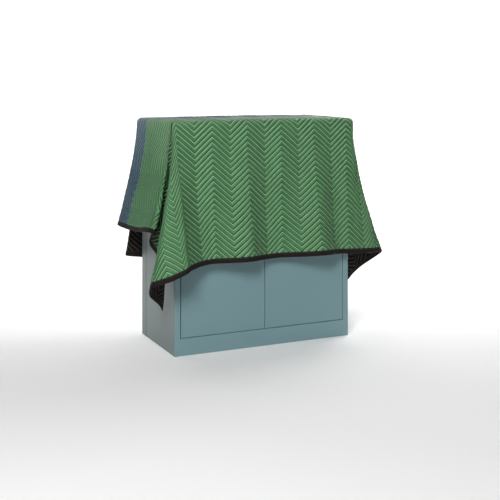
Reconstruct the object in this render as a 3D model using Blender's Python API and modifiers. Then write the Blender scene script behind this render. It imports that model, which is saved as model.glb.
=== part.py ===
"""A quilted moving blanket draped over a steel cabinet.

Metres, +Z up. The origin is the centre of the cabinet's underside, +X is right along its front
and +Y is to its rear. The blanket is bound all round, and two panels are sewn together across it.
"""

import math
from collections import namedtuple

import bmesh
import bpy
import numpy as np

# The cabinet that holds the blanket up
CABINET_WIDTH = 0.914
CABINET_DEPTH = 0.457
CABINET_HEIGHT = 1.067
FRAME_BORDER = 0.030
PLINTH_HEIGHT = 0.080
DOOR_THICKNESS = 0.018
DOOR_GAP = 0.003
SHEET_METAL_BEND = 0.003

# The blanket as it was cut, and how far it hangs over the front and left edges
BLANKET_WIDTH = 2.032
BLANKET_DEPTH = 1.829
DROP_FRONT = 0.667
DROP_LEFT = 0.560
GREEN_DEPTH = 0.985
BINDING_WIDTH = 0.024
DROP_REAR = BLANKET_DEPTH - CABINET_DEPTH - DROP_FRONT
DROP_RIGHT = BLANKET_WIDTH - CABINET_WIDTH - DROP_LEFT

# Thickness, measured from the middle of the cloth
BELOW_MIDDLE = 0.0012
STITCH_HEIGHT = 0.0006
PUFF_HEIGHT = 0.0024
BINDING_HALF = 0.0022
PINCH_REACH = 0.35
PINCH_LEAST = 0.2

# The chevron quilting: zigzag lines that run across the blanket
LINE_SPACING = 0.0508
ZIGZAG_PERIOD = 0.1778
ZIGZAG_HEIGHT = 0.076
FIRST_PEAK = -0.004

# How the cloth rests and bends
REST_GAP = 0.0003
SEAM_GAP = 0.0006
BINDING_GAP = 0.00095
EDGE_RADIUS = 0.025
EDGE_LIFT = 0.004
LIFT_REACH = 0.060
FALL_CURVE = 1.55
NORMAL_REACH = 0.006
STEPS_DOWN = 40

HALF_WIDTH = CABINET_WIDTH / 2
HALF_DEPTH = CABINET_DEPTH / 2
BEND_LENGTH = EDGE_RADIUS * math.pi / 2
HEM_LEFT = -HALF_WIDTH - DROP_LEFT
HEM_RIGHT = HALF_WIDTH + DROP_RIGHT
HEM_FRONT = -HALF_DEPTH - DROP_FRONT
HEM_REAR = HALF_DEPTH + DROP_REAR
PANEL_SEAM = HEM_FRONT + GREEN_DEPTH

# Each row is one line down the cloth, from the top's edge to the hem. Its place is metres along a
# side or degrees round a corner, both counted anticlockwise from above. Right and back say where
# its hem point hangs, seen from above and from where the line leaves the edge. Taken up is the
# length that small wrinkles take from it, less than zero where the cloth gives on the bias.
Line = namedtuple("Line", "place right back taken_up")

FRONT_SIDE = (
    Line(0.00, 0.030, -0.132, -0.018),
    Line(0.07, 0.022, -0.082, -0.006),
    Line(0.15, 0.012, -0.060, 0.0),
    Line(0.24, 0.0, -0.084, 0.0),
    Line(0.32, 0.0, -0.120, 0.0),
    Line(0.42, 0.0, -0.062, 0.0),
    Line(0.52, 0.0, -0.044, 0.0),
    Line(0.62, 0.0, -0.076, 0.0),
    Line(0.715, 0.0, -0.120, 0.0),
    Line(0.825, 0.0, -0.058, -0.003),
)
FRONT_RIGHT_CORNER = (
    Line(0, 0.0, -0.058, -0.008),
    Line(10, 0.105, -0.055, -0.011),
    Line(21, 0.190, 0.0, -0.010),
    Line(31, 0.105, 0.060, -0.003),
    Line(40, 0.030, 0.090, 0.0),
    Line(52, 0.032, 0.160, 0.0),
    Line(61, 0.035, 0.200, 0.0),
    Line(65, 0.050, 0.212, 0.0),
    Line(69, 0.068, 0.209, 0.0),
    Line(73, 0.081, 0.191, 0.0),
    Line(77, 0.088, 0.170, 0.0),
    Line(85, 0.097, 0.110, 0.0),
)
RIGHT_SIDE = (
    Line(0.0, 0.107, 0.084, 0.0),
    Line(0.02, 0.124, 0.080, 0.0),
    Line(0.07, 0.121, 0.075, 0.0),
    Line(0.2, 0.100, 0.030, 0.0),
    Line(0.36, 0.100, 0.0, 0.0),
)
REAR_RIGHT_CORNER = (
    Line(0, 0.105, 0.0, 0.0),
    Line(14, 0.105, 0.120, 0.0),
    Line(22, 0.102, 0.195, 0.0),
    Line(29, 0.082, 0.230, 0.0),
    Line(36, 0.050, 0.208, 0.0),
    Line(43, 0.015, 0.140, 0.0),
    Line(52, -0.040, 0.045, 0.0),
    Line(61, -0.125, 0.038, 0.0),
    Line(69, -0.172, 0.050, 0.0),
    Line(77, -0.166, 0.090, 0.0),
    Line(85, -0.110, 0.102, 0.0),
)
REAR_SIDE = (
    Line(0.0, -0.062, 0.105, 0.0),
    Line(0.025, -0.028, 0.126, 0.0),
    Line(0.07, -0.032, 0.146, 0.0),
    Line(0.2, -0.010, 0.120, 0.0),
    Line(0.38, 0.0, 0.090, 0.0),
    Line(0.56, 0.0, 0.060, 0.0),
    Line(0.74, 0.0, 0.065, 0.0),
)
REAR_LEFT_CORNER = (
    Line(0, 0.025, 0.055, 0.0),
    Line(8, -0.055, 0.080, 0.0),
    Line(20, 0.060, 0.135, 0.0),
    Line(34, 0.215, 0.105, 0.0),
    Line(38.5, 0.262, 0.132, 0.0),
    Line(43, 0.218, 0.168, 0.0),
    Line(52, 0.125, 0.205, 0.0),
    Line(65, 0.0, 0.220, 0.0),
    Line(80, -0.062, 0.115, 0.0),
)
LEFT_SIDE = (
    Line(0.0, -0.108, 0.055, 0.0),
    Line(0.16, -0.110, 0.064, 0.0),
    Line(0.32, -0.108, 0.052, 0.012),
    Line(0.43, -0.114, 0.050, 0.030),
)
FRONT_LEFT_CORNER = (
    Line(0, -0.114, 0.044, 0.034),
    Line(5, -0.108, 0.022, 0.038),
    Line(9.5, -0.094, 0.018, 0.038),
    Line(14, -0.082, 0.054, 0.032),
    Line(20, -0.078, 0.108, 0.018),
    Line(26.5, -0.068, 0.135, 0.004),
    Line(33, -0.033, 0.134, 0.0),
    Line(39, -0.027, 0.096, 0.0),
    Line(44, -0.034, 0.055, 0.0),
    Line(51, -0.060, 0.005, -0.004),
    Line(58.5, -0.138, -0.065, -0.018),
    Line(64, -0.154, -0.115, -0.028),
    Line(70, -0.138, -0.147, -0.046),
    Line(77, -0.062, -0.172, -0.040),
    Line(84, -0.005, -0.174, -0.029),
)

# One round of sides and corners. Each has its lines, its length in the round, the top's corner
# that it starts from, and the direction in which its lines' feet move on from there.
Stretch = namedtuple("Stretch", "lines length corner direction")
CORNER_LENGTH = 1.05
ROUND = (
    Stretch(FRONT_SIDE, CABINET_WIDTH, (-1, -1), (1, 0)),
    Stretch(FRONT_RIGHT_CORNER, CORNER_LENGTH, (1, -1), None),
    Stretch(RIGHT_SIDE, CABINET_DEPTH, (1, -1), (0, 1)),
    Stretch(REAR_RIGHT_CORNER, CORNER_LENGTH, (1, 1), None),
    Stretch(REAR_SIDE, CABINET_WIDTH, (1, 1), (-1, 0)),
    Stretch(REAR_LEFT_CORNER, CORNER_LENGTH, (-1, 1), None),
    Stretch(LEFT_SIDE, CABINET_DEPTH, (-1, 1), (0, -1)),
    Stretch(FRONT_LEFT_CORNER, CORNER_LENGTH, (-1, -1), None),
)
ROUND_STARTS = np.cumsum([0.0] + [stretch.length for stretch in ROUND])
ROUND_LENGTH = ROUND_STARTS[-1]


def lines_round():
    """Every line's place in the round, the x and y of its hem point, and what is taken up."""
    found = []
    for stretch, start in zip(ROUND, ROUND_STARTS):
        for line in stretch.lines:
            x = stretch.corner[0] * HALF_WIDTH + line.right
            y = stretch.corner[1] * HALF_DEPTH + line.back
            if stretch.direction:
                along = line.place
                x += stretch.direction[0] * along
                y += stretch.direction[1] * along
            else:
                along = line.place / 90 * CORNER_LENGTH
            found.append((start + along, x, y, line.taken_up))
    return np.array(found)


LINES = lines_round()


def along_round(place, column):
    """A smooth curve through one column of the lines, which closes on itself."""
    at = np.concatenate([LINES[-2:, 0] - ROUND_LENGTH, LINES[:, 0], LINES[:2, 0] + ROUND_LENGTH])
    value = np.concatenate([LINES[-2:, column], LINES[:, column], LINES[:2, column]])
    step = np.diff(at)
    rise = np.diff(value) / step
    slope = np.zeros(len(at))
    slope[1:-1] = (rise[:-1] * step[1:] + rise[1:] * step[:-1]) / (step[1:] + step[:-1])
    i = np.clip(np.searchsorted(at, place, side="right") - 1, 0, len(at) - 2)
    t = (place - at[i]) / step[i]
    return (
        (2 * t**3 - 3 * t**2 + 1) * value[i]
        + (t**3 - 2 * t**2 + t) * step[i] * slope[i]
        + (3 * t**2 - 2 * t**3) * value[i + 1]
        + (t**3 - t**2) * step[i] * slope[i + 1]
    )


def line_through(across, back):
    """For flat points on the cloth: where their line leaves the top, its direction there, the
    distance down it, its length to the hem, and its place in the round."""
    foot_x = np.clip(across, -HALF_WIDTH, HALF_WIDTH)
    foot_y = np.clip(back, -HALF_DEPTH, HALF_DEPTH)
    over_x = across - foot_x
    over_y = back - foot_y
    down = np.hypot(over_x, over_y)
    angle = np.arctan2(over_y, over_x)
    out_x = np.where(down > 0, np.cos(angle), 0.0)
    out_y = np.where(down > 0, np.sin(angle), 0.0)
    drop_x = np.where(over_x > 0, DROP_RIGHT, DROP_LEFT)
    drop_y = np.where(over_y > 0, DROP_REAR, DROP_FRONT)
    tiny = 1e-9
    length = np.minimum(drop_x / np.maximum(abs(out_x), tiny), drop_y / np.maximum(abs(out_y), tiny))
    turn = np.mod(np.degrees(angle) + 90, 360)
    quarter = np.minimum(turn // 90, 3).astype(int)
    corner = (over_x != 0) & (over_y != 0)
    side_places = (foot_x + HALF_WIDTH, foot_y + HALF_DEPTH, HALF_WIDTH - foot_x, HALF_DEPTH - foot_y)
    side = np.mod(np.round(turn / 90), 4).astype(int)
    place = np.choose(side, side_places) + ROUND_STARTS[2 * side]
    in_corner = (turn - 90 * quarter) / 90 * CORNER_LENGTH + ROUND_STARTS[2 * quarter + 1]
    return foot_x, foot_y, out_x, out_y, down, length, np.where(corner, in_corner, place)


def draped(across, back):
    """The middle of the draped cloth at flat points measured from the top's centre."""
    across, back = np.broadcast_arrays(np.asarray(across, float), np.asarray(back, float))
    foot_x, foot_y, out_x, out_y, down, length, place = line_through(across, back)
    hem_x = along_round(place, 1) - foot_x - out_x * EDGE_RADIUS
    hem_y = along_round(place, 2) - foot_y - out_y * EDGE_RADIUS
    taken_up = along_round(place, 3)

    def seen_from_above(distance):
        turned = np.sin(np.minimum(distance / EDGE_RADIUS, math.pi / 2)) * EDGE_RADIUS
        fallen = np.clip((distance - BEND_LENGTH) / (length - BEND_LENGTH), 0, None) ** FALL_CURVE
        return out_x * turned + hem_x * fallen, out_y * turned + hem_y * fallen

    height = np.zeros_like(down)
    before_x, before_y = seen_from_above(np.zeros_like(down))
    for step in range(1, STEPS_DOWN + 1):
        x, y = seen_from_above(down * step / STEPS_DOWN)
        sideways = np.hypot(x - before_x, y - before_y)
        height -= np.sqrt(np.maximum((down / STEPS_DOWN) ** 2 - sideways**2, 0))
        before_x, before_y = x, y
    inside = np.minimum(HALF_WIDTH - abs(foot_x), HALF_DEPTH - abs(foot_y))
    near_edge = np.clip(1 - inside / LIFT_REACH, 0, 1)
    lift = EDGE_LIFT * near_edge**2 * (3 - 2 * near_edge)
    top = CABINET_HEIGHT + REST_GAP + BELOW_MIDDLE + lift
    z = top + height * (1 - taken_up / length)
    return np.stack([foot_x + before_x, foot_y + before_y, z], -1)


def raised(across, back, height):
    """Draped points, moved square to the cloth by a height, which the folds press thinner where
    they meet at the top's corners."""
    from_corner = np.hypot(abs(across) - HALF_WIDTH, abs(back) - HALF_DEPTH)
    height = np.asarray(height) * np.clip(from_corner / PINCH_REACH, PINCH_LEAST, 1)
    reach = NORMAL_REACH
    along = draped(across + reach, back) - draped(across - reach, back)
    over = draped(across, back + reach) - draped(across, back - reach)
    square = np.cross(along, over)
    square /= np.maximum(np.linalg.norm(square, axis=-1, keepdims=True), 1e-12)
    return draped(across, back) + square * height[..., None]


def zigzag(across):
    """How far a quilting line lies to the rear of its own middle at a place across the blanket."""
    share = np.mod((across + HALF_WIDTH - FIRST_PEAK) / ZIGZAG_PERIOD, 1)
    return ZIGZAG_HEIGHT * (0.5 - 2 * np.minimum(share, 1 - share))


def columns_across():
    """Where the mesh has a column: at the zigzag's corners, and closer together off the top."""
    half = ZIGZAG_PERIOD / 2
    first = FIRST_PEAK - HALF_WIDTH
    count = int(BLANKET_WIDTH / half) + 2
    found = [HEM_LEFT + BINDING_WIDTH + BINDING_GAP, -HALF_WIDTH, HALF_WIDTH]
    found.append(HEM_RIGHT - BINDING_WIDTH - BINDING_GAP)
    for k in range(-count, count):
        at = first + k * half
        found.append(at)
        if abs(at + half / 2) > HALF_WIDTH:
            found.extend((at + half / 3, at + half * 2 / 3))
    inside = sorted(x for x in found if found[0] <= x <= found[3])
    return [x for i, x in enumerate(inside) if i == 0 or x - inside[i - 1] > 0.008]


def rows_back(columns, near, far):
    """Flat rows from near to far at each column, and each point's height over the cloth's middle.
    They follow the quilting, but stay straight where the cloth bends over the top's edges."""
    bends = ((-HALF_DEPTH - BEND_LENGTH, -HALF_DEPTH), (HALF_DEPTH, HALF_DEPTH + BEND_LENGTH))
    cuts = sorted({near, far, *(c for bend in bends for c in bend if near < c < far)})
    wave = zigzag(columns)
    half = LINE_SPACING / 2
    rows = [(np.full(len(columns), near), np.full(len(columns), STITCH_HEIGHT))]
    for low, high in zip(cuts[:-1], cuts[1:]):
        middle = (low + high) / 2
        if any(bend[0] < middle < bend[1] for bend in bends):
            flat = np.full(len(columns), (STITCH_HEIGHT + PUFF_HEIGHT) / 2)
            rows.append((np.full(len(columns), middle), flat))
        else:
            first = math.ceil((low - ZIGZAG_HEIGHT / 2) / half)
            last = math.floor((high + ZIGZAG_HEIGHT / 2) / half)
            for k in range(first, last + 1):
                at = np.clip(k * half + wave, low, high)
                at = np.where(at - low < half / 3, low, np.where(high - at < half / 3, high, at))
                puff = PUFF_HEIGHT if k % 2 else STITCH_HEIGHT
                rows.append((at, np.where((at == low) | (at == high), STITCH_HEIGHT, puff)))
        rows.append((np.full(len(columns), high), np.full(len(columns), STITCH_HEIGHT)))
    return np.array([at for at, _ in rows]), np.array([height for _, height in rows])


def face(bm, corners):
    """A face on these corners, where fewer than three of them fall together."""
    distinct = [v for i, v in enumerate(corners) if v is not corners[i - 1]]
    if len(set(distinct)) >= 3:
        bm.faces.new(distinct)


def new_object(name, bm, material):
    """An object with its own material, from a closed mesh."""
    bmesh.ops.recalc_face_normals(bm, faces=bm.faces)
    bmesh.ops.triangulate(bm, faces=bm.faces)
    mesh = bpy.data.meshes.new(name)
    bm.to_mesh(mesh)
    bm.free()
    mesh.materials.append(material)
    mesh.shade_smooth()
    mesh.set_sharp_from_angle(angle=math.radians(40))
    made = bpy.data.objects.new(name, mesh)
    PARTS.objects.link(made)
    return made


def quilted_panel(name, near, far, material):
    """A closed sheet from its near edge to its far edge, puffed between the lines of stitching."""
    columns = np.array(columns_across())
    at, height = rows_back(columns, near, far)
    across = np.broadcast_to(columns, at.shape)
    bm = bmesh.new()
    skins = []
    for heights in (height, np.full(height.shape, -BELOW_MIDDLE)):
        points = raised(across, at, heights)
        skin = []
        for row, places in enumerate(at):
            skin.append([])
            for column, place in enumerate(places):
                same = row > 0 and abs(at[row - 1][column] - place) < 1e-6
                vertex = skin[row - 1][column] if same else bm.verts.new(points[row, column])
                skin[row].append(vertex)
        skins.append(skin)
    for skin in skins:
        for low, high in zip(skin[:-1], skin[1:]):
            for i in range(len(columns) - 1):
                face(bm, (low[i], low[i + 1], high[i + 1], high[i]))
    outer, inner = skins
    for column in (0, -1):
        for row in range(len(at) - 1):
            wall = (outer[row][column], outer[row + 1][column])
            face(bm, (*wall, inner[row + 1][column], inner[row][column]))
    for row in (0, -1):
        for i in range(len(columns) - 1):
            wall = (outer[row][i], outer[row][i + 1])
            face(bm, (*wall, inner[row][i + 1], inner[row][i]))
    return new_object(name, bm, material)


def binding_strip(name, inner_edge, hem, material):
    """A folded tape round the blanket's edge, between two flat lines given as (across, back)."""
    sides = []
    for line in (inner_edge, hem):
        across, back = (np.array(values, float) for values in zip(*line))
        for height in (BINDING_HALF, -BINDING_HALF):
            sides.append(raised(across, back, np.full(len(line), height)))
    bm = bmesh.new()
    rings = [[bm.verts.new(sides[k][i]) for k in (0, 2, 3, 1)] for i in range(len(hem))]
    for ring, following in zip(rings[:-1], rings[1:]):
        for k in range(4):
            face(bm, (ring[k], ring[k - 1], following[k - 1], following[k]))
    face(bm, rings[0])
    face(bm, rings[-1])
    return new_object(name, bm, material)


def bindings(material):
    """The four strips: front and rear run the whole width, and the sides lie between them."""
    columns = columns_across()
    stations = [HEM_LEFT, *columns, HEM_RIGHT]
    for name, hem, inward in (("binding_front", HEM_FRONT, 1), ("binding_rear", HEM_REAR, -1)):
        inner = [(x, hem + inward * BINDING_WIDTH) for x in stations]
        binding_strip(name, inner, [(x, hem) for x in stations], material)
    for name, hem, inward, column in (
        ("binding_left", HEM_LEFT, 1, 0),
        ("binding_right", HEM_RIGHT, -1, len(columns) - 1),
    ):
        stations = []
        for near, far in panel_limits():
            at, _ = rows_back(np.array(columns), near, far)
            stations.extend(at[:, column])
        stations = sorted(set(np.round(stations, 6)))
        stations[0] += BINDING_GAP
        stations[-1] -= BINDING_GAP
        inner = [(hem + inward * BINDING_WIDTH, y) for y in stations]
        binding_strip(name, inner, [(hem, y) for y in stations], material)


def panel_limits():
    """The near and far edges of the green panel and of the navy panel."""
    inset = BINDING_WIDTH + BINDING_GAP
    return (
        (HEM_FRONT + inset, PANEL_SEAM - SEAM_GAP / 2),
        (PANEL_SEAM + SEAM_GAP / 2, HEM_REAR - inset),
    )


def box(name, low, high):
    """A box between two corners."""
    bpy.ops.mesh.primitive_cube_add(size=1)
    made = bpy.context.object
    made.name = name
    for collection in made.users_collection:
        collection.objects.unlink(made)
    centre = [(a + b) / 2 for a, b in zip(low, high)]
    size = [b - a for a, b in zip(low, high)]
    for vertex in made.data.vertices:
        vertex.co = [c + v * s for c, v, s in zip(centre, vertex.co, size)]
    return made


def cabinet(body_material, door_material):
    """A steel cabinet: a body on a plinth, recessed at the front for its two doors."""
    front = -HALF_DEPTH
    body = box(
        "cabinet_body", (-HALF_WIDTH, front, 0), (HALF_WIDTH, HALF_DEPTH, CABINET_HEIGHT)
    )
    PARTS.objects.link(body)
    body.data.materials.append(body_material)
    inner_half = HALF_WIDTH - FRAME_BORDER
    top = CABINET_HEIGHT - FRAME_BORDER
    depth = DOOR_THICKNESS + REST_GAP
    recess = box(
        "door_recess", (-inner_half, front - depth, PLINTH_HEIGHT), (inner_half, front + depth, top)
    )
    CUTTERS.objects.link(recess)
    recess.hide_render = True
    recess.display_type = "WIRE"
    cut = body.modifiers.new("door_recess", "BOOLEAN")
    cut.operation = "DIFFERENCE"
    cut.solver = "EXACT"
    cut.object = recess
    bend = body.modifiers.new("bent_edges", "BEVEL")
    bend.width = SHEET_METAL_BEND
    bend.segments = 2
    bend.limit_method = "ANGLE"
    for name, left, right in (
        ("door_left", -inner_half + DOOR_GAP, -DOOR_GAP / 2),
        ("door_right", DOOR_GAP / 2, inner_half - DOOR_GAP),
    ):
        door = box(
            name,
            (left, front, PLINTH_HEIGHT + DOOR_GAP),
            (right, front + DOOR_THICKNESS, top - DOOR_GAP),
        )
        PARTS.objects.link(door)
        door.data.materials.append(door_material)


def finish(name, colour, roughness, metallic=0.0):
    """A Principled material of one colour."""
    material = bpy.data.materials.new(name)
    material.use_nodes = True
    shader = material.node_tree.nodes["Principled BSDF"]
    shader.inputs["Base Color"].default_value = (*colour, 1)
    shader.inputs["Roughness"].default_value = roughness
    shader.inputs["Metallic"].default_value = metallic
    return material


for thing in list(bpy.data.objects):
    bpy.data.objects.remove(thing, do_unlink=True)
PARTS = bpy.data.collections.new("moving_blanket")
CUTTERS = bpy.data.collections.new("cutters")
bpy.context.scene.collection.children.link(PARTS)
bpy.context.scene.collection.children.link(CUTTERS)

cabinet(
    finish("cabinet_paint", (0.147, 0.258, 0.275), 0.45),
    finish("door_paint", (0.147, 0.258, 0.275), 0.42),
)
GREEN_LIMITS, NAVY_LIMITS = panel_limits()
quilted_panel("green_panel", *GREEN_LIMITS, finish("green_cloth", (0.07, 0.195, 0.085), 0.8))
quilted_panel("navy_panel", *NAVY_LIMITS, finish("navy_cloth", (0.042, 0.078, 0.144), 0.8))
bindings(finish("binding_tape", (0.019, 0.016, 0.014), 0.85))
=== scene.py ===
"""A green and navy moving blanket, quilted in chevrons and draped over a steel cabinet."""

import math
from collections import namedtuple

import bmesh
import bpy
import numpy as np
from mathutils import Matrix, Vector


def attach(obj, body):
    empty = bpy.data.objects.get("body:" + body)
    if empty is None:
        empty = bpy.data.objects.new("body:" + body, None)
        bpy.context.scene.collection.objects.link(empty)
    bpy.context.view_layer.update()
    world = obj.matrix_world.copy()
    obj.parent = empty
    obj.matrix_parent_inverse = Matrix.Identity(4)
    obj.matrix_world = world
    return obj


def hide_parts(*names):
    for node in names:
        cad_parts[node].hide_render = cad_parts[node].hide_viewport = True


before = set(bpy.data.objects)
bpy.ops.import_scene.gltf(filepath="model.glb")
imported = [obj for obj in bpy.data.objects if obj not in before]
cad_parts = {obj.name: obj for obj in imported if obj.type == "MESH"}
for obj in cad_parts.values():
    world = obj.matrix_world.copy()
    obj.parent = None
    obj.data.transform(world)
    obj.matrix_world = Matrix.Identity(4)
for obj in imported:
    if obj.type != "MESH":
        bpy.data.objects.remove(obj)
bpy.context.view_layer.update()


# The studio: a pale floor that runs up into a backdrop behind the cabinet. The camera stands
# to the left of the front and a little above the blanket's top.
EYE = Vector((-2.051, -4.4745, 1.282))
EYE_TURN = math.radians(-24.93)
EYE_LENS = 71.5
EYE_SHIFT = -0.3486

camera = bpy.data.objects.new("camera", bpy.data.cameras.new("camera"))
bpy.context.collection.objects.link(camera)
camera.location = EYE
camera.rotation_euler = (math.pi / 2, 0, EYE_TURN)
camera.data.sensor_width = 36
camera.data.lens = EYE_LENS
camera.data.shift_y = EYE_SHIFT
camera.data.clip_end = 60
bpy.context.scene.camera = camera
bpy.context.scene.view_settings.view_transform = "Standard"


def linear(code):
    """The shader's colour for one written as a screen's hex code."""
    parts = [int(code[i:i + 2], 16) / 255 for i in (1, 3, 5)]
    return tuple(c / 12.92 if c < 0.04045 else ((c + 0.055) / 1.055) ** 2.4 for c in parts) + (1.0,)


def link(tree, value, slot):
    """Set a socket to a value, or join it to another one."""
    if isinstance(value, Signal):
        tree.links.new(value.socket, slot)
    else:
        slot.default_value = value


class Signal:
    """A shader socket whose maths is written as Python."""

    def __init__(self, socket):
        self.socket = socket
        self.tree = socket.id_data

    def maths(self, operation, *values):
        node = self.tree.nodes.new("ShaderNodeMath")
        node.operation = operation
        for value, slot in zip(values, node.inputs):
            link(self.tree, value, slot)
        return Signal(node.outputs[0])

    def __add__(self, other):
        return self.maths("ADD", self, other)

    def __radd__(self, other):
        return self.maths("ADD", other, self)

    def __sub__(self, other):
        return self.maths("SUBTRACT", self, other)

    def __rsub__(self, other):
        return self.maths("SUBTRACT", other, self)

    def __mul__(self, other):
        return self.maths("MULTIPLY", self, other)

    def __rmul__(self, other):
        return self.maths("MULTIPLY", other, self)

    def __truediv__(self, other):
        return self.maths("DIVIDE", self, other)

    def __rtruediv__(self, other):
        return self.maths("DIVIDE", other, self)

    def __pow__(self, other):
        return self.maths("POWER", self, other)

    def __abs__(self):
        return self.maths("ABSOLUTE", self)

    def share(self):
        """What is left over a whole number."""
        return self.maths("FRACT", self)

    def least(self, other):
        return self.maths("MINIMUM", self, other)

    def most(self, other):
        return self.maths("MAXIMUM", self, other)

    def below(self, edge, soft):
        """1 where this is less than an edge, falling to 0 over a soft border beyond it."""
        return ((edge - self) / soft + 1).most(0).least(1)


class Finish:
    """A Principled material and the nodes that feed it."""

    def __init__(self, name, **constants):
        self.material = bpy.data.materials.new(name)
        self.material.use_nodes = True
        self.tree = self.material.node_tree
        self.shader = self.tree.nodes["Principled BSDF"]
        for name, value in constants.items():
            self.slot(name).default_value = value

    def slot(self, name):
        """The shader's own socket, by its name in small letters with underscores."""
        return self.shader.inputs[name.replace("_", " ").title().replace("Ior", "IOR")]

    def node(self, kind, settings, sockets, output=0):
        """A node by its type, with its settings made first. Sockets go by identifier or name."""
        made = self.tree.nodes.new(kind)
        for key, value in settings.items():
            setattr(made, key, value)
        for key, value in sockets.items():
            slot = next(s for s in made.inputs if key in (s.identifier, s.name))
            link(self.tree, value, slot)
        if isinstance(output, str):
            return Signal(next(s for s in made.outputs if output in (s.identifier, s.name)))
        return Signal(made.outputs[output])

    def mix(self, factor, first, second):
        """Two colours blended."""
        sockets = {"Factor_Float": factor, "A_Color": first, "B_Color": second}
        return self.node("ShaderNodeMix", {"data_type": "RGBA"}, sockets, "Result_Color")

    def noise(self, at, scale, detail=2.0):
        sockets = {"Vector": at, "Scale": scale, "Detail": detail}
        return self.node("ShaderNodeTexNoise", {}, sockets)

    def feed(self, **sockets):
        for name, value in sockets.items():
            link(self.tree, value, self.slot(name))

    def relief(self, height, depth):
        """Raise the surface by a height of 0 to 1 times a depth in metres."""
        sockets = {"Height": height, "Distance": depth, "Strength": 1.0}
        self.feed(normal=self.node("ShaderNodeBump", {}, sockets))


def mesh_object(name, points, faces, finish):
    """A smooth shaded object from points and faces."""
    mesh = bpy.data.meshes.new(name)
    mesh.from_pydata([tuple(p) for p in points], [], faces)
    mesh.materials.append(finish.material)
    mesh.shade_smooth()
    made = bpy.data.objects.new(name, mesh)
    bpy.context.collection.objects.link(made)
    return made


FLOOR_HALF = 7.0
FLOOR_FRONT = -9.0
BACKDROP_AT = 3.4
BACKDROP_BEND = 1.2
BACKDROP_TOP = 5.0
BEND_STEPS = 12
studio_paper = Finish(
    "studio paper", roughness=0.9, emission_color=(1, 1, 1, 1), emission_strength=0.08
)
paper_place = studio_paper.node("ShaderNodeNewGeometry", {}, {}, "Position")
studio_paper.feed(
    base_color=studio_paper.mix(
        studio_paper.noise(paper_place, 1.5), linear("#f4f4f3"), linear("#f7f7f7")
    )
)
profile = [(FLOOR_FRONT, 0.0), (BACKDROP_AT - BACKDROP_BEND, 0.0)]
for i in range(1, BEND_STEPS + 1):
    turn = i / BEND_STEPS * math.pi / 2
    profile.append((
        BACKDROP_AT - BACKDROP_BEND + BACKDROP_BEND * math.sin(turn),
        BACKDROP_BEND - BACKDROP_BEND * math.cos(turn),
    ))
profile.append((BACKDROP_AT, BACKDROP_TOP))
paper_points = [(x, y, z) for y, z in profile for x in (-FLOOR_HALF, FLOOR_HALF)]
paper_faces = [(i, i + 1, i + 3, i + 2) for i in range(0, len(paper_points) - 2, 2)]
paper = mesh_object("studio_paper", paper_points, paper_faces, studio_paper)
paper.rotation_euler = (0, 0, EYE_TURN)


def softbox(name, place, size, power, target=(0, 0, 0.7)):
    """A square studio light that faces a point."""
    lamp = bpy.data.lights.new(name, "AREA")
    lamp.size = size
    lamp.energy = power
    made = bpy.data.objects.new(name, lamp)
    made.location = place
    made.rotation_euler = (Vector(target) - Vector(place)).to_track_quat("-Z", "Y").to_euler()
    bpy.context.collection.objects.link(made)


softbox("key light", (-2.7, -3.9, 3.4), 1.5, 210)
softbox("fill light", (0.6, -5.2, 2.6), 2.6, 2)
softbox("top light", (0.8, 1.2, 4.6), 2.6, 14)
softbox("backdrop light left", (-1.4, 1.6, 2.6), 1.6, 60, (0.4, 3.6, 1.2))
softbox("backdrop light right", (2.6, 0.9, 2.4), 1.6, 90, (2.4, 2.2, 0.0))
world = bpy.data.worlds.new("studio air")
world.use_nodes = True
world.node_tree.nodes["Background"].inputs["Color"].default_value = (1, 1, 1, 1)
world.node_tree.nodes["Background"].inputs["Strength"].default_value = 0.02
bpy.context.scene.world = world


# The cabinet: folded sheet steel, powder coated, with two flush doors set in a narrow frame.
# Its side and rear panels are spot welded in the frame, which leaves an upright seam.
CABINET_WIDTH = 0.914
CABINET_DEPTH = 0.457
CABINET_HEIGHT = 1.067
SIDE_SEAM_FROM_REAR = 0.064
SIDE_SEAM_WIDTH = 0.009
# Painted shade for the faces that point sideways: they are darker and greyer than the front.
SIDE_PAINTED_SHADE = "#6f7774"
SEAM_TONE = "#20272a"
PEEL_DEPTH = 0.0012


def powder_coat(name, paint, seam_and_side_shade):
    """Satin powder coat with a fine orange peel, and, where it is asked for, a folded seam and
    painted shade that makes the side faces darker and greyer.
    """
    coat = Finish(name, specular_ior_level=0.45)
    place = coat.node("ShaderNodeTexCoord", {}, {}, "Object")
    back = coat.node("ShaderNodeSeparateXYZ", {}, {"Vector": place}, "Y")
    drift = coat.noise(place, 2.2)
    grain = coat.noise(place, 900, 3)
    colour = coat.mix(drift, linear(paint[0]), linear(paint[1]))
    height = grain * 0.05
    if seam_and_side_shade:
        # Painted shade: the faces that point sideways are mixed towards a darker, greyer tone.
        facing = coat.node("ShaderNodeNewGeometry", {}, {}, "Normal")
        sideways = coat.node("ShaderNodeSeparateXYZ", {}, {"Vector": facing}, "X")
        side = abs(sideways).most(0.5) * 2 - 1
        colour = coat.mix(side * 0.8, colour, linear(SIDE_PAINTED_SHADE))
        from_seam = abs(back - (CABINET_DEPTH / 2 - SIDE_SEAM_FROM_REAR))
        gap = from_seam.below(SIDE_SEAM_WIDTH / 2, 0.001)
        colour = coat.mix(gap * 0.75, colour, linear(SEAM_TONE))
        height = height + (1 - gap)
    coat.feed(base_color=colour, roughness=0.38 + 0.1 * drift)
    coat.relief(height, PEEL_DEPTH)
    return coat


body_coat = powder_coat("cabinet body coat", ("#76969b", "#7b9ba0"), True)
door_coat = powder_coat("cabinet door coat", ("#74949a", "#79999f"), False)
for node, coat in (("cabinet_body", body_coat), ("door_left", door_coat), ("door_right", door_coat)):
    bpy.data.objects[node].material_slots[0].material = coat.material


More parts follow.
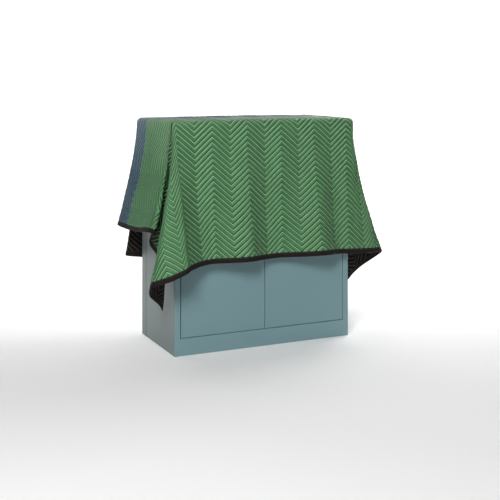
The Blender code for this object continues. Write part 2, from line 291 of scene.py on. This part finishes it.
# The hang of the blanket: one padded cloth that lies loose on the top, bends over the top's
# edges and falls in folds. Each row of the tables is one line of cloth from the top's edge to the
# hem, which swings outward as it falls.
BLANKET_WIDTH = 2.032
BLANKET_DEPTH = 1.829
DROP_FRONT = 0.667
DROP_LEFT = 0.560
DROP_REAR = BLANKET_DEPTH - CABINET_DEPTH - DROP_FRONT
DROP_RIGHT = BLANKET_WIDTH - CABINET_WIDTH - DROP_LEFT
HALF_WIDTH = CABINET_WIDTH / 2
HALF_DEPTH = CABINET_DEPTH / 2
HEM_LEFT = -HALF_WIDTH - DROP_LEFT
HEM_RIGHT = HALF_WIDTH + DROP_RIGHT
HEM_FRONT = -HALF_DEPTH - DROP_FRONT
HEM_REAR = HALF_DEPTH + DROP_REAR
EDGE_RADIUS = 0.025
BEND_LENGTH = EDGE_RADIUS * math.pi / 2
EDGE_LIFT = 0.004
LIFT_REACH = 0.060
FALL_CURVE = 1.55
MIDDLE_OVER_TOP = 0.0030
NORMAL_REACH = 0.006
STEPS_DOWN = 40
PINCH_REACH = 0.35
PINCH_LEAST = 0.3

# Place is metres along a side or degrees round a corner, anticlockwise from above. Right and
# back are from where the line leaves the edge to its hem. Taken up is lost in small wrinkles.
Line = namedtuple("Line", "place right back taken_up")
FRONT_SIDE = (
    Line(0.00, 0.030, -0.132, -0.018),
    Line(0.07, 0.022, -0.082, -0.006),
    Line(0.15, 0.012, -0.060, 0.0),
    Line(0.24, 0.0, -0.084, 0.0),
    Line(0.32, 0.0, -0.120, 0.0),
    Line(0.42, 0.0, -0.062, 0.0),
    Line(0.52, 0.0, -0.044, 0.0),
    Line(0.62, 0.0, -0.076, 0.0),
    Line(0.715, 0.0, -0.120, 0.0),
    Line(0.825, 0.0, -0.058, -0.003),
)
FRONT_RIGHT_CORNER = (
    Line(0, 0.0, -0.058, -0.008),
    Line(10, 0.105, -0.055, -0.011),
    Line(21, 0.190, 0.0, -0.010),
    Line(31, 0.105, 0.060, -0.003),
    Line(40, 0.030, 0.090, 0.0),
    Line(52, 0.032, 0.160, 0.0),
    Line(61, 0.035, 0.200, 0.0),
    Line(65, 0.050, 0.212, 0.0),
    Line(69, 0.068, 0.209, 0.0),
    Line(73, 0.081, 0.191, 0.0),
    Line(77, 0.088, 0.170, 0.0),
    Line(85, 0.097, 0.110, 0.0),
)
RIGHT_SIDE = (
    Line(0.0, 0.107, 0.084, 0.0),
    Line(0.02, 0.124, 0.080, 0.0),
    Line(0.07, 0.121, 0.075, 0.0),
    Line(0.2, 0.100, 0.030, 0.0),
    Line(0.36, 0.100, 0.0, 0.0),
)
REAR_RIGHT_CORNER = (
    Line(0, 0.105, 0.0, 0.0),
    Line(14, 0.105, 0.120, 0.0),
    Line(22, 0.102, 0.195, 0.0),
    Line(29, 0.082, 0.230, 0.0),
    Line(36, 0.050, 0.208, 0.0),
    Line(43, 0.015, 0.140, 0.0),
    Line(52, -0.040, 0.045, 0.0),
    Line(61, -0.125, 0.038, 0.0),
    Line(69, -0.172, 0.050, 0.0),
    Line(77, -0.166, 0.090, 0.0),
    Line(85, -0.110, 0.102, 0.0),
)
REAR_SIDE = (
    Line(0.0, -0.062, 0.105, 0.0),
    Line(0.025, -0.028, 0.126, 0.0),
    Line(0.07, -0.032, 0.146, 0.0),
    Line(0.2, -0.010, 0.120, 0.0),
    Line(0.38, 0.0, 0.090, 0.0),
    Line(0.56, 0.0, 0.060, 0.0),
    Line(0.74, 0.0, 0.065, 0.0),
)
REAR_LEFT_CORNER = (
    Line(0, 0.025, 0.055, 0.0),
    Line(8, -0.055, 0.080, 0.0),
    Line(20, 0.060, 0.135, 0.0),
    Line(34, 0.215, 0.105, 0.0),
    Line(38.5, 0.262, 0.132, 0.0),
    Line(43, 0.218, 0.168, 0.0),
    Line(52, 0.125, 0.205, 0.0),
    Line(65, 0.0, 0.220, 0.0),
    Line(80, -0.062, 0.115, 0.0),
)
LEFT_SIDE = (
    Line(0.0, -0.108, 0.055, 0.0),
    Line(0.16, -0.110, 0.064, 0.0),
    Line(0.32, -0.108, 0.052, 0.012),
    Line(0.43, -0.114, 0.050, 0.030),
)
FRONT_LEFT_CORNER = (
    Line(0, -0.114, 0.044, 0.034),
    Line(5, -0.108, 0.022, 0.038),
    Line(9.5, -0.094, 0.018, 0.038),
    Line(14, -0.082, 0.054, 0.032),
    Line(20, -0.078, 0.108, 0.018),
    Line(26.5, -0.068, 0.135, 0.004),
    Line(33, -0.033, 0.134, 0.0),
    Line(39, -0.027, 0.096, 0.0),
    Line(44, -0.034, 0.055, 0.0),
    Line(51, -0.060, 0.005, -0.004),
    Line(58.5, -0.138, -0.065, -0.018),
    Line(64, -0.154, -0.115, -0.028),
    Line(70, -0.138, -0.147, -0.046),
    Line(77, -0.062, -0.172, -0.040),
    Line(84, -0.005, -0.174, -0.029),
)

# One round of sides and corners. Each has its lines, its length in the round, the top's corner
# that it starts from, and the direction in which its lines' feet move on from there.
Stretch = namedtuple("Stretch", "lines length corner direction")
CORNER_LENGTH = 1.05
ROUND = (
    Stretch(FRONT_SIDE, CABINET_WIDTH, (-1, -1), (1, 0)),
    Stretch(FRONT_RIGHT_CORNER, CORNER_LENGTH, (1, -1), None),
    Stretch(RIGHT_SIDE, CABINET_DEPTH, (1, -1), (0, 1)),
    Stretch(REAR_RIGHT_CORNER, CORNER_LENGTH, (1, 1), None),
    Stretch(REAR_SIDE, CABINET_WIDTH, (1, 1), (-1, 0)),
    Stretch(REAR_LEFT_CORNER, CORNER_LENGTH, (-1, 1), None),
    Stretch(LEFT_SIDE, CABINET_DEPTH, (-1, 1), (0, -1)),
    Stretch(FRONT_LEFT_CORNER, CORNER_LENGTH, (-1, -1), None),
)
ROUND_STARTS = np.cumsum([0.0] + [stretch.length for stretch in ROUND])
ROUND_LENGTH = ROUND_STARTS[-1]


def lines_round():
    """Every line's place in the round, the x and y of its hem point, and what is taken up."""
    found = []
    for stretch, start in zip(ROUND, ROUND_STARTS):
        for line in stretch.lines:
            x = stretch.corner[0] * HALF_WIDTH + line.right
            y = stretch.corner[1] * HALF_DEPTH + line.back
            if stretch.direction:
                along = line.place
                x += stretch.direction[0] * along
                y += stretch.direction[1] * along
            else:
                along = line.place / 90 * CORNER_LENGTH
            found.append((start + along, x, y, line.taken_up))
    return np.array(found)


LINES = lines_round()


def along_round(place, column):
    """A smooth curve through one column of the lines, which closes on itself."""
    at = np.concatenate([LINES[-2:, 0] - ROUND_LENGTH, LINES[:, 0], LINES[:2, 0] + ROUND_LENGTH])
    value = np.concatenate([LINES[-2:, column], LINES[:, column], LINES[:2, column]])
    step = np.diff(at)
    rise = np.diff(value) / step
    slope = np.zeros(len(at))
    slope[1:-1] = (rise[:-1] * step[1:] + rise[1:] * step[:-1]) / (step[1:] + step[:-1])
    i = np.clip(np.searchsorted(at, place, side="right") - 1, 0, len(at) - 2)
    t = (place - at[i]) / step[i]
    return (
        (2 * t**3 - 3 * t**2 + 1) * value[i]
        + (t**3 - 2 * t**2 + t) * step[i] * slope[i]
        + (3 * t**2 - 2 * t**3) * value[i + 1]
        + (t**3 - t**2) * step[i] * slope[i + 1]
    )


def line_through(across, back):
    """For flat points on the cloth: where their line leaves the top, its direction there, the
    distance down it, its length to the hem, and its place in the round."""
    foot_x = np.clip(across, -HALF_WIDTH, HALF_WIDTH)
    foot_y = np.clip(back, -HALF_DEPTH, HALF_DEPTH)
    over_x = across - foot_x
    over_y = back - foot_y
    down = np.hypot(over_x, over_y)
    angle = np.arctan2(over_y, over_x)
    out_x = np.where(down > 0, np.cos(angle), 0.0)
    out_y = np.where(down > 0, np.sin(angle), 0.0)
    drop_x = np.where(over_x > 0, DROP_RIGHT, DROP_LEFT)
    drop_y = np.where(over_y > 0, DROP_REAR, DROP_FRONT)
    tiny = 1e-9
    length = np.minimum(
        drop_x / np.maximum(abs(out_x), tiny), drop_y / np.maximum(abs(out_y), tiny)
    )
    turn = np.mod(np.degrees(angle) + 90, 360)
    quarter = np.minimum(turn // 90, 3).astype(int)
    corner = (over_x != 0) & (over_y != 0)
    side_places = (
        foot_x + HALF_WIDTH, foot_y + HALF_DEPTH, HALF_WIDTH - foot_x, HALF_DEPTH - foot_y
    )
    side = np.mod(np.round(turn / 90), 4).astype(int)
    place = np.choose(side, side_places) + ROUND_STARTS[2 * side]
    in_corner = (turn - 90 * quarter) / 90 * CORNER_LENGTH + ROUND_STARTS[2 * quarter + 1]
    return foot_x, foot_y, out_x, out_y, down, length, np.where(corner, in_corner, place)


def draped(across, back):
    """The middle of the draped cloth at flat points measured from the top's centre."""
    across, back = np.broadcast_arrays(np.asarray(across, float), np.asarray(back, float))
    foot_x, foot_y, out_x, out_y, down, length, place = line_through(across, back)
    hem_x = along_round(place, 1) - foot_x - out_x * EDGE_RADIUS
    hem_y = along_round(place, 2) - foot_y - out_y * EDGE_RADIUS
    taken_up = along_round(place, 3)

    def seen_from_above(distance):
        turned = np.sin(np.minimum(distance / EDGE_RADIUS, math.pi / 2)) * EDGE_RADIUS
        fallen = np.clip((distance - BEND_LENGTH) / (length - BEND_LENGTH), 0, None) ** FALL_CURVE
        return out_x * turned + hem_x * fallen, out_y * turned + hem_y * fallen

    height = np.zeros_like(down)
    before_x, before_y = seen_from_above(np.zeros_like(down))
    for step in range(1, STEPS_DOWN + 1):
        x, y = seen_from_above(down * step / STEPS_DOWN)
        sideways = np.hypot(x - before_x, y - before_y)
        height -= np.sqrt(np.maximum((down / STEPS_DOWN) ** 2 - sideways**2, 0))
        before_x, before_y = x, y
    inside = np.minimum(HALF_WIDTH - abs(foot_x), HALF_DEPTH - abs(foot_y))
    near_edge = np.clip(1 - inside / LIFT_REACH, 0, 1)
    lift = EDGE_LIFT * near_edge**2 * (3 - 2 * near_edge)
    top = CABINET_HEIGHT + MIDDLE_OVER_TOP + lift
    z = top + height * (1 - taken_up / length)
    return np.stack([foot_x + before_x, foot_y + before_y, z], -1)


def raised(across, back, height):
    """Draped points, moved square to the cloth by a height, which the folds press thinner where
    they meet at the top's corners."""
    from_corner = np.hypot(abs(across) - HALF_WIDTH, abs(back) - HALF_DEPTH)
    height = np.asarray(height) * np.clip(from_corner / PINCH_REACH, PINCH_LEAST, 1)
    reach = NORMAL_REACH
    along = draped(across + reach, back) - draped(across - reach, back)
    over = draped(across, back + reach) - draped(across, back - reach)
    square = np.cross(along, over)
    square /= np.maximum(np.linalg.norm(square, axis=-1, keepdims=True), 1e-12)
    return draped(across, back) + square * height[..., None]


# The outer cloth: brushed polyester in two colours, joined by one seam across the blanket. It
# is quilted to the padding in chevron lines, so that it stands in a soft puff between them.
GREEN_DEPTH = 0.985
PANEL_SEAM = HEM_FRONT + GREEN_DEPTH
LINE_SPACING = 0.0254
ZIGZAG_PERIOD = 0.1778
ZIGZAG_HEIGHT = 0.076
FIRST_PEAK = -0.004
PUFF_STEPS = 6
COLUMNS_IN_PERIOD = 24
PUFF_HEIGHT = 0.0070
STITCH_HEIGHT = 0.0006
FLAT_BESIDE_SEAM = 0.012
FLAT_BESIDE_HEM = 0.012
HEM_SLOPE = 0.02
PUFF_ON_TOP = 0.4
FULL_PUFF_FROM_TOP = 0.1
HEM_INSET = 0.002
THREAD_WIDTH = 0.0022
STITCH_LENGTH = 0.0042
STITCH_SLANT = math.cos(math.atan(ZIGZAG_HEIGHT / (ZIGZAG_PERIOD / 2)))
CLOTH_RELIEF = 0.011


def zigzag(across):
    """How far a quilting line lies to the rear of its own middle at a place across the blanket."""
    share = np.mod((across + HALF_WIDTH - FIRST_PEAK) / ZIGZAG_PERIOD, 1)
    return ZIGZAG_HEIGHT * (0.5 - 2 * np.minimum(share, 1 - share))


def past_top(across, back):
    """How far flat places lie past the top's edges."""
    return np.hypot(np.maximum(abs(across) - HALF_WIDTH, 0), np.maximum(abs(back) - HALF_DEPTH, 0))


# Each wave of wrinkles: its direction over the flat cloth, its length, and where it starts.
WRINKLES = ((0.3, 0.21, 0.4), (1.1, 0.16, 2.1), (2.0, 0.27, 4.4), (2.7, 0.13, 1.3))
WRINKLE_STEEPNESS = 0.0042
FULL_WRINKLES_FROM_TOP = 0.2


def wrinkles(across, back):
    """Shallow uneven creases over the whole blanket, which flatten where it lies on the top."""
    total = np.zeros(np.shape(across))
    for turn, length, start in WRINKLES:
        along = across * math.cos(turn) + back * math.sin(turn)
        beside = back * math.cos(turn) - across * math.sin(turn)
        bent = 1.7 * np.sin(beside / length * 2.1)
        total += length * np.sin(along / length * math.tau + start + bent)
    loose = np.clip(past_top(across, back) / FULL_WRINKLES_FROM_TOP, 0.1, 1)
    return total * WRINKLE_STEEPNESS * loose


def cloth_grid(left, right, near, far, column_step, row_step):
    """Flat places in columns and rows that follow the quilting, with straight edges."""
    corner = FIRST_PEAK - HALF_WIDTH
    first = math.ceil((left - corner) / column_step)
    last = math.floor((right - corner) / column_step)
    inside = [corner + k * column_step for k in range(first, last + 1)]
    columns = np.array([left, *(x for x in inside if left + 0.001 < x < right - 0.001), right])
    wave = zigzag(columns)
    reach = ZIGZAG_HEIGHT / 2
    first = math.ceil((near - reach) / row_step)
    last = math.floor((far + reach) / row_step)
    rows = [np.clip(k * row_step + wave, near, far) for k in range(first, last + 1)]
    back = np.array([np.full(len(columns), near), *rows, np.full(len(columns), far)])
    return np.broadcast_to(columns, back.shape), back


def sheet_object(name, across, back, height, finish):
    """An open sheet through a grid of flat places, without the faces that are pressed flat."""
    points = raised(across, back, height + wrinkles(across, back))
    rows, columns = across.shape
    index = np.arange(rows * columns).reshape(rows, columns)
    for row in range(1, rows):
        same = abs(back[row] - back[row - 1]) < 1e-6
        index[row][same] = index[row - 1][same]
    corners = np.stack([index[:-1, :-1], index[:-1, 1:], index[1:, 1:], index[1:, :-1]], -1)
    faces = []
    for face in corners.reshape(-1, 4).tolist():
        kept = [v for i, v in enumerate(face) if v != face[i - 1]]
        if len(kept) > 2:
            faces.append(kept)
    made = mesh_object(name, points.reshape(-1, 3), faces, finish)
    flat = made.data.attributes.new("flat", "FLOAT_VECTOR", "POINT")
    places = np.stack([across, back, np.zeros(across.shape)], -1)
    flat.data.foreach_set("vector", places.reshape(-1))
    tidy = bmesh.new()
    tidy.from_mesh(made.data)
    bmesh.ops.delete(tidy, geom=[v for v in tidy.verts if not v.link_faces], context="VERTS")
    tidy.to_mesh(made.data)
    tidy.free()
    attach(made, "root")
    return made


Quilting = namedtuple("Quilting", "place across back share line phase beside stitch")


def quilting(finish):
    """Where a point of the surface lies in the quilting: its flat place, its share of a zigzag
    and of the way from one line to the next, and its distance from the stitches."""
    place = finish.node("ShaderNodeAttribute", {"attribute_name": "flat"}, {}, "Vector")
    across = finish.node("ShaderNodeSeparateXYZ", {}, {"Vector": place}, "X")
    back = finish.node("ShaderNodeSeparateXYZ", {}, {"Vector": place}, "Y")
    share = ((across + (HALF_WIDTH - FIRST_PEAK)) / ZIGZAG_PERIOD + 20).share()
    line = back - ZIGZAG_HEIGHT * (0.5 - 2 * share.least(1 - share))
    phase = (line / LINE_SPACING + 100).share()
    beside = phase.least(1 - phase) * (LINE_SPACING * STITCH_SLANT)
    stitch = beside.below(THREAD_WIDTH / 2, 0.0005)
    return Quilting(place, across, back, share, line, phase, beside, stitch)


# Painted shade: the cloth is darker where it turns away from a light up and to the left.
# The deep fold, where shade is painted, is a direction over the flat cloth from the top's front left
# corner.
PAINTED_LIGHT_DIRECTION = (-0.7, 0.0, 0.7)
DEEP_FOLD = math.radians(216)
SHADE = "#061005"
LINE_SHADE = "#0c1f10"
FURROW_SHADE = "#0c150b"


def painted_shade_in_deep_fold(lines):
    """1 deep in the fold at the front left corner, where shade is painted, and 0 away from it."""
    from_x = lines.across + HALF_WIDTH
    from_y = lines.back + HALF_DEPTH
    along = from_x * math.cos(DEEP_FOLD) + from_y * math.sin(DEEP_FOLD)
    from_fold = abs(from_y * math.cos(DEEP_FOLD) - from_x * math.sin(DEEP_FOLD))
    return (from_fold / along.most(0.02)).below(0.14, 0.20) * (0 - along).below(-0.03, 0.02)


def quilted_cloth(name, cloth, faded, thread):
    """Brushed polyester with its stitching, thread by thread along each chevron line. Painted shade
    makes the puffs darker below and a painted highlight makes them lighter above, most of all
    beside the lines that rise to the right."""
    finish = Finish(name, sheen_weight=0.05, sheen_roughness=0.4, specular_ior_level=0.5)
    lines = quilting(finish)
    dash = abs((lines.across / STITCH_LENGTH + 600).share() - 0.5).below(0.38, 0.08)
    furrow = lines.beside.below(0.0010, 0.0045)
    patches = finish.noise(lines.place, 9, 3)
    gathers = finish.node("ShaderNodeCombineXYZ", {}, {"X": lines.across, "Y": lines.line * 0.4})
    pucker = finish.noise(gathers, 120)
    crumple = finish.noise(lines.place, 26, 3)
    weave = finish.noise(lines.place, 900)

    facing = finish.node("ShaderNodeNewGeometry", {}, {}, "Normal")
    sockets = {"Vector": facing, "Vector_001": PAINTED_LIGHT_DIRECTION}
    toward_painted_light = finish.node("ShaderNodeVectorMath", {"operation": "DOT_PRODUCT"}, sockets, "Value")
    painted_shade_away_from_light = toward_painted_light.below(-0.15, 0.6)
    rising = 0.3 + 0.7 * (1 - lines.share.below(0.5, 0.01))
    on_side = 1 - abs(lines.across).below(HALF_WIDTH, 0.02)
    painted_shade_under_puff = lines.phase.below(0.10, 0.35) * rising * (1 - 0.6 * on_side) * (0.3 + 1.4 * pucker)
    painted_highlight_over_puff = (1 - lines.phase).below(0.08, 0.35) * rising * (0.2 + 1.6 * crumple)

    ground = finish.mix(patches, linear(cloth), linear(faded))
    # Painted shade in the furrows beside the stitch lines.
    ground = finish.mix(furrow * 0.35, ground, linear(FURROW_SHADE))
    # Painted shade where the cloth turns away from a light up and to the left.
    ground = finish.mix(painted_shade_away_from_light * 0.3, ground, linear(SHADE))
    # Painted highlight on the upper side of each puff.
    ground = finish.mix(painted_highlight_over_puff * 0.3, ground, linear(thread))
    # Painted shade on the lower side of each puff, strongest beside the lines that rise to the
    # right.
    ground = finish.mix(painted_shade_under_puff * 0.85, ground, linear(LINE_SHADE))
    # Painted shade deep in the fold at the front left corner.
    ground = finish.mix(painted_shade_in_deep_fold(lines) * 0.8, ground, linear(SHADE))
    colour = finish.mix(lines.stitch * (0.5 + 0.5 * dash), ground, linear(thread))
    finish.feed(base_color=colour, roughness=0.42 + 0.2 * patches)
    soft = (1 - furrow) * 0.3 + pucker * 0.5 + crumple * 0.6
    finish.relief(soft + weave * 0.02 + lines.stitch * dash * 0.05, CLOTH_RELIEF)
    return finish


green_cloth = quilted_cloth("green quilted cloth", "#467a4c", "#528859", "#9edc9f")
navy_cloth = quilted_cloth("navy quilted cloth", "#2c4a5c", "#3a5c6e", "#7d9fb0")
for name, near, far, finish in (
    ("green_quilt", HEM_FRONT + HEM_INSET, PANEL_SEAM, green_cloth),
    ("navy_quilt", PANEL_SEAM, HEM_REAR - HEM_INSET, navy_cloth),
):
    across, back = cloth_grid(
        HEM_LEFT + HEM_INSET, HEM_RIGHT - HEM_INSET, near, far,
        ZIGZAG_PERIOD / COLUMNS_IN_PERIOD, LINE_SPACING / PUFF_STEPS,
    )
    phase = np.mod((back - zigzag(across)) / LINE_SPACING, 1)
    puff = 4 * phase * (1 - phase)
    from_hem = np.minimum(
        np.minimum(across - HEM_LEFT, HEM_RIGHT - across),
        np.minimum(back - HEM_FRONT, HEM_REAR - back),
    )
    puff *= np.clip(abs(back - PANEL_SEAM) / FLAT_BESIDE_SEAM, 0, 1)
    puff *= np.clip((from_hem - FLAT_BESIDE_HEM) / HEM_SLOPE, 0, 1)
    puff *= np.clip(past_top(across, back) / FULL_PUFF_FROM_TOP, PUFF_ON_TOP, 1)
    height = STITCH_HEIGHT + (PUFF_HEIGHT - STITCH_HEIGHT) * puff
    sheet_object(name, across, back, height, finish)
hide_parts("green_panel")
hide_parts("navy_panel")


# The backing: one piece of near black cotton over the whole underside, quilted to the padding
# with the same lines. It shows where the hem swings away from the cabinet.
BACKING_BELOW = 0.0022
BACKING_COLUMNS_IN_PERIOD = 12
BACKING_RELIEF = 0.002
backing_finish = Finish("black backing", roughness=0.9, specular_ior_level=0.2)
lines = quilting(backing_finish)
patches = backing_finish.noise(lines.place, 9, 3)
weave = backing_finish.noise(lines.place, 900)
ground = backing_finish.mix(patches, linear("#0e100d"), linear("#181914"))
backing_finish.feed(base_color=backing_finish.mix(lines.stitch * 0.6, ground, linear("#6b6558")))
puffed = 1 - lines.beside.below(0.001, 0.004)
backing_finish.relief(puffed * 0.5 + weave * 0.1, BACKING_RELIEF)
across, back = cloth_grid(
    HEM_LEFT + HEM_INSET, HEM_RIGHT - HEM_INSET, HEM_FRONT + HEM_INSET, HEM_REAR - HEM_INSET,
    ZIGZAG_PERIOD / BACKING_COLUMNS_IN_PERIOD, LINE_SPACING / 2,
)
below = np.full(across.shape, -BACKING_BELOW)
backing = sheet_object("backing", across, back, below, backing_finish)


# The binding: a dark woven polyester tape, folded over the raw edge and sewn through all the
# layers with one line of stitches. The front and rear tapes run the whole width.
BINDING_WIDTH = 0.024
RIB_SPACING = 0.0016
SEWN_AT = 0.8
TAPE_RELIEF = 0.0006
TAPE_STEPS_ALONG_WIDTH = 340
TAPE_STEPS_ALONG_DEPTH = 300
tape_finish = Finish("binding tape", roughness=0.85, specular_ior_level=0.25)
tape_place = tape_finish.node("ShaderNodeAttribute", {"attribute_name": "flat"}, {}, "Vector")
along = tape_finish.node("ShaderNodeSeparateXYZ", {}, {"Vector": tape_place}, "X")
inward = tape_finish.node("ShaderNodeSeparateXYZ", {}, {"Vector": tape_place}, "Y")
rib = abs((along / RIB_SPACING + 900).share() - 0.5)
sewn = abs(inward - SEWN_AT).below(0.035, 0.02)
tape_ground = tape_finish.mix(
    tape_finish.noise(tape_place, 60), linear("#15110f"), linear("#1f1a17")
)
tape_finish.feed(base_color=tape_finish.mix(sewn * 0.5, tape_ground, linear("#4a423c")))
tape_finish.relief(rib * 0.5 + (1 - sewn) * 0.6, TAPE_RELIEF)

# Around the tape's section: the distance in from the hem and the height over the cloth's middle.
TAPE_SECTION = (
    (0.0240, 0.0036), (0.0210, 0.0046), (0.0120, 0.0046), (0.0040, 0.0040), (0.0010, 0.0026),
    (0.0000, 0.0000),
    (0.0010, -0.0024), (0.0040, -0.0032), (0.0120, -0.0036), (0.0210, -0.0036), (0.0240, -0.0030),
)


def tape(name, places, inward_across, inward_back):
    """A tape along flat places on the hem, with its section turned inward from there."""
    along_x, along_y = np.array(places).T
    rings = []
    for inward, height in TAPE_SECTION:
        across = along_x + inward * inward_across
        back = along_y + inward * inward_back
        rings.append(raised(across, back, height + wrinkles(across, back)))
    count = len(places)
    starts = [k * count for k in range(len(rings))]
    faces = [starts, [start + count - 1 for start in reversed(starts)]]
    for start, following in zip(starts, starts[1:] + starts[:1]):
        for i in range(count - 1):
            faces.append((start + i, start + i + 1, following + i + 1, following + i))
    made = mesh_object(name, np.concatenate(rings), faces, tape_finish)
    made.data.set_sharp_from_angle(angle=math.radians(50))
    flat = made.data.attributes.new("flat", "FLOAT_VECTOR", "POINT")
    length = np.concatenate([[0], np.cumsum(np.hypot(np.diff(along_x), np.diff(along_y)))])
    spots = []
    for inward, height in TAPE_SECTION:
        spots.extend((l, inward / BINDING_WIDTH, height) for l in length)
    flat.data.foreach_set("vector", np.array(spots).reshape(-1))
    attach(made, "root")
    return made


across_steps = np.linspace(HEM_LEFT, HEM_RIGHT, TAPE_STEPS_ALONG_WIDTH)
back_steps = np.linspace(
    HEM_FRONT + BINDING_WIDTH, HEM_REAR - BINDING_WIDTH, TAPE_STEPS_ALONG_DEPTH
)
tapes = {
    "binding_front": tape("front_tape", [(x, HEM_FRONT) for x in across_steps], 0, 1),
    "binding_rear": tape("rear_tape", [(x, HEM_REAR) for x in across_steps], 0, -1),
    "binding_left": tape("left_tape", [(HEM_LEFT, y) for y in back_steps], 1, 0),
    "binding_right": tape("right_tape", [(HEM_RIGHT, y) for y in back_steps], -1, 0),
}
for node, made in tapes.items():
    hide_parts(node)
